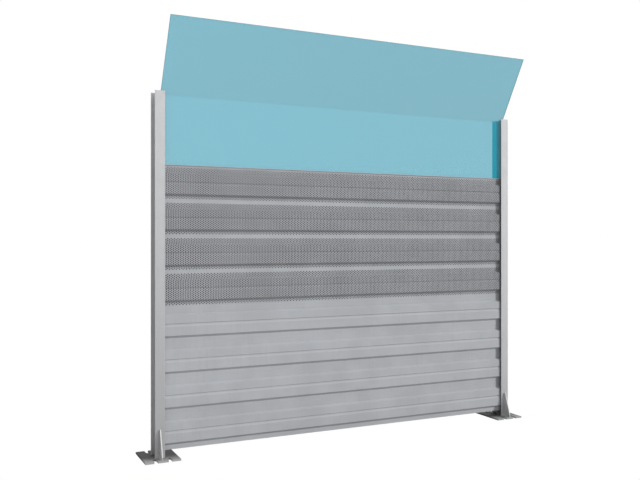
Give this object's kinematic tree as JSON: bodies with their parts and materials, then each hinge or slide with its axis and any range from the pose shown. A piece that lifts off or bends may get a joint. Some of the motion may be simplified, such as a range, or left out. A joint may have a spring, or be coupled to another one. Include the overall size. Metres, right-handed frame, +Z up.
{
  "type": "noise barrier section",
  "caption": "One bay of a roadside noise barrier: stacked ribbed acoustic cassettes slotted between I-section posts, with a clear screen that leans forward on top.",
  "frame": {"origin": "a point of the left base plate's underside, under the middle of the left post", "axes": "+X along the barrier to the right seen from its front, +Y to its rear, +Z up; the front, with the perforated cassettes and the leaning screen, faces -Y"},
  "size_m": [6.478, 0.9813, 6.0745],
  "materials": {
    "galvanised_post": "matt hot-dip galvanised steel",
    "galvanised_plate": "dull hot-dip galvanised steel",
    "plain_sheet": "satin grey coated aluminium sheet",
    "perforated_sheet": "satin grey coated aluminium sheet with round perforations",
    "mineral_wool": "dark faced mineral wool",
    "rubber_seal": "matt black rubber",
    "rail": "satin aluminium",
    "clear_sheet": "clear teal-tinted acrylic"
  },
  "bodies": {
    "root": {"base_plate_left": "galvanised_plate", "base_plate_right": "galvanised_plate", "post_left": "galvanised_post", "post_right": "galvanised_post", "front_gusset_left": "galvanised_post", "front_gusset_right": "galvanised_post", "rear_gusset_left": "galvanised_post", "rear_gusset_right": "galvanised_post", "cassette_seat_left": "galvanised_plate", "cassette_seat_right": "galvanised_plate", "plain_cassette_front_1": "plain_sheet", "plain_cassette_back_1": "plain_sheet", "plain_cassette_front_2": "plain_sheet", "plain_cassette_back_2": "plain_sheet", "plain_cassette_front_3": "plain_sheet", "plain_cassette_back_3": "plain_sheet", "plain_cassette_front_4": "plain_sheet", "plain_cassette_back_4": "plain_sheet", "perforated_cassette_front_1": "perforated_sheet", "perforated_cassette_back_1": "plain_sheet", "absorber_1": "mineral_wool", "perforated_cassette_front_2": "perforated_sheet", "perforated_cassette_back_2": "plain_sheet", "absorber_2": "mineral_wool", "perforated_cassette_front_3": "perforated_sheet", "perforated_cassette_back_3": "plain_sheet", "absorber_3": "mineral_wool", "perforated_cassette_front_4": "perforated_sheet", "perforated_cassette_back_4": "plain_sheet", "absorber_4": "mineral_wool", "front_seal_left": "rubber_seal", "front_seal_right": "rubber_seal", "rear_seal_left": "rubber_seal", "rear_seal_right": "rubber_seal", "screen_sill": "rail", "screen_edging_left": "rubber_seal", "screen_edging_right": "rubber_seal", "clear_screen": "clear_sheet"}
  },
  "joints": []
}
